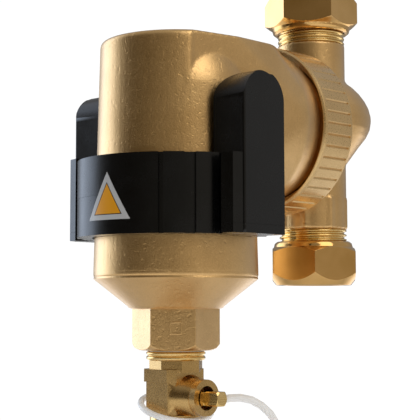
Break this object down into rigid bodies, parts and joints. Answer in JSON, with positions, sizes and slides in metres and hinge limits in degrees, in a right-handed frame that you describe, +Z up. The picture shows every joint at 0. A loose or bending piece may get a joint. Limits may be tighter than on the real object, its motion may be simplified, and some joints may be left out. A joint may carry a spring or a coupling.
{
  "type": "magnetic system filter",
  "caption": "Brass magnetic dirt separator for heating pipework: swivelling vessel on a compression tee, slide-off magnet sleeve, drain valve with capped outlet.",
  "frame": {"origin": "centre of the lower pipe socket's pipe stop, on the pipe's axis", "axes": "+Z up the pipe; -Y from the pipe toward the vessel; +X toward the drain valve's spindle"},
  "size_m": [0.0832, 0.1354, 0.1852],
  "materials": {
    "forged_brass": "matte, fine sand texture from forging and blasting",
    "machined_brass": "bright turned",
    "ring_brass": "semi-matte, knurled",
    "valve_brass": "satin pressed",
    "copper": "plain drawn",
    "steel": "plain",
    "magnet": "nickel plated",
    "chrome": "polished",
    "rubber": "matt",
    "natural_plastic": "moulded",
    "white_plastic": "moulded",
    "grey_plastic": "moulded",
    "strap_plastic": "slightly translucent, smooth",
    "black_plastic": "satin, fine grain",
    "label": "printed foil"
  },
  "bodies": {
    "tee": {"pipe_tee": "forged_brass", "flow_divider": "natural_plastic"},
    "upper_olive": {"upper_olive": "copper"},
    "upper_nut": {"upper_nut": "machined_brass"},
    "lower_olive": {"lower_olive": "copper"},
    "lower_nut": {"lower_nut": "machined_brass"},
    "slip_washer": {"slip_washer": "white_plastic"},
    "swivel_ring": {"swivel_ring": "ring_brass"},
    "vessel": {"housing": "forged_brass", "retaining_clip": "steel", "neck_o_ring": "rubber", "core_head": "grey_plastic", "core_tube": "copper", "core_mesh": "steel", "core_foot": "grey_plastic", "flow_baffle": "grey_plastic", "sump": "forged_brass", "sump_o_ring": "rubber", "valve_body": "valve_brass", "valve_seal": "natural_plastic", "ball_seats": "white_plastic", "spindle_o_ring": "rubber", "valve_tailpiece": "machined_brass", "cap_strap": "strap_plastic"},
    "spindle": {"valve_spindle": "machined_brass", "valve_ball": "chrome"},
    "cap_washer": {"cap_washer": "rubber"},
    "outlet_cap": {"outlet_cap": "machined_brass"},
    "sleeve": {"sleeve_shell": "black_plastic", "sleeve_base": "black_plastic", "left_ear_magnets": "magnet", "right_ear_magnets": "magnet", "left_ear_yoke": "steel", "right_ear_yoke": "steel", "belt_magnets": "magnet", "sleeve_screws": "steel", "sleeve_label": "label"}
  },
  "joints": [
    {"name": "vessel_swivel", "type": "hinge", "parent": "tee", "child": "vessel", "pos_m": [0, -0.0774, 0.032], "axis": [0, 1, 0], "continuous": true},
    {"name": "washer_slide", "type": "slide", "parent": "tee", "child": "slip_washer", "axis": [0, -1, 0], "range_m": [0, 0.0035]},
    {"name": "ring_turn", "type": "hinge", "parent": "slip_washer", "child": "swivel_ring", "pos_m": [0, -0.0774, 0.032], "axis": [0, -1, 0], "range_deg": [0, 842]},
    {"name": "upper_olive_slide", "type": "slide", "parent": "tee", "child": "upper_olive", "axis": [0, 0, 1], "range_m": [0, 0.009]},
    {"name": "upper_nut_turn", "type": "hinge", "parent": "upper_olive", "child": "upper_nut", "pos_m": [0, 0, 0.082], "axis": [0, 0, 1], "range_deg": [0, 1800]},
    {"name": "lower_olive_slide", "type": "slide", "parent": "tee", "child": "lower_olive", "axis": [0, 0, -1], "range_m": [0, 0.009]},
    {"name": "lower_nut_turn", "type": "hinge", "parent": "lower_olive", "child": "lower_nut", "pos_m": [0, 0, -0.018], "axis": [0, 0, -1], "range_deg": [0, 1800]},
    {"name": "spindle_turn", "type": "hinge", "parent": "vessel", "child": "spindle", "pos_m": [0, -0.0774, -0.0655], "axis": [1, 0, 0], "range_deg": [0, 90]},
    {"name": "cap_slide", "type": "slide", "parent": "vessel", "child": "cap_washer", "axis": [0, 0, -1], "range_m": [0, 0.0106], "deforming": ["cap_strap"]},
    {"name": "cap_turn", "type": "hinge", "parent": "cap_washer", "child": "outlet_cap", "pos_m": [0, -0.0774, -0.083], "axis": [0, 0, -1], "range_deg": [0, 2108]},
    {"name": "sleeve_slide", "type": "slide", "parent": "vessel", "child": "sleeve", "axis": [0, 0, -1], "range_m": [0, 0.145]}
  ],
  "couplings": [
    {"joint": "ring_turn", "follows": "washer_slide", "rad_per_m": 4188.8},
    {"joint": "upper_nut_turn", "follows": "upper_olive_slide", "rad_per_m": 3463.7},
    {"joint": "lower_nut_turn", "follows": "lower_olive_slide", "rad_per_m": 3463.7},
    {"joint": "cap_turn", "follows": "cap_slide", "rad_per_m": 3463.7}
  ]
}
